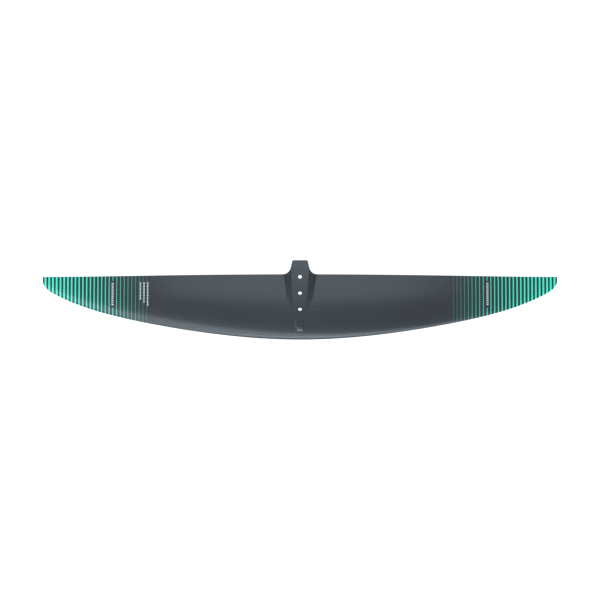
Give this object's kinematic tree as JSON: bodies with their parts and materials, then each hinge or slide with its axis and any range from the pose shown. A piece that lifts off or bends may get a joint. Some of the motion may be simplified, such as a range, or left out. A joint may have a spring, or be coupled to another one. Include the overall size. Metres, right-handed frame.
{
  "type": "hydrofoil front wing",
  "caption": "High aspect hydrofoil front wing with a woven carbon skin, striped tips, and a raised saddle with a tang and a line of bolt holes",
  "frame": {"origin": "middle bolt hole, on the flat face that seats the fuselage", "axes": "X along the span, +Y aft towards the trailing edge and the tang, +Z out of the upper face"},
  "size_m": [1.1, 0.1705, 0.0367],
  "materials": {
    "carbon_skin": "satin clear-coated carbon fibre weave",
    "carbon_saddle": "satin clear-coated carbon fibre weave over solid laminate",
    "carbon_tip": "satin clear-coated solid carbon laminate",
    "laminate_block": "solid carbon and glass laminate, machined",
    "unidirectional_carbon": "unidirectional carbon tape, cured",
    "web_laminate": "carbon-faced dense foam web",
    "foam_core": "closed-cell structural foam, sanded",
    "resin_filler": "epoxy with chopped carbon",
    "stripe_film": "printed film under the clear coat, turquoise",
    "mark_film": "printed film under the clear coat, white"
  },
  "bodies": {
    "root": {"left_front_core": "foam_core", "left_leading_edge_filler": "resin_filler", "left_marks": "mark_film", "left_rear_core": "foam_core", "left_spar_web": "web_laminate", "left_stripes": "stripe_film", "left_tip_block": "carbon_tip", "left_trailing_edge_filler": "resin_filler", "lower_skin": "carbon_skin", "lower_spar_cap": "unidirectional_carbon", "mounting_block": "laminate_block", "right_front_core": "foam_core", "right_leading_edge_filler": "resin_filler", "right_marks": "mark_film", "right_rear_core": "foam_core", "right_spar_web": "web_laminate", "right_stripes": "stripe_film", "right_tip_block": "carbon_tip", "right_trailing_edge_filler": "resin_filler", "saddle_and_tang": "carbon_saddle", "upper_skin": "carbon_skin", "upper_spar_cap": "unidirectional_carbon"}
  },
  "joints": []
}
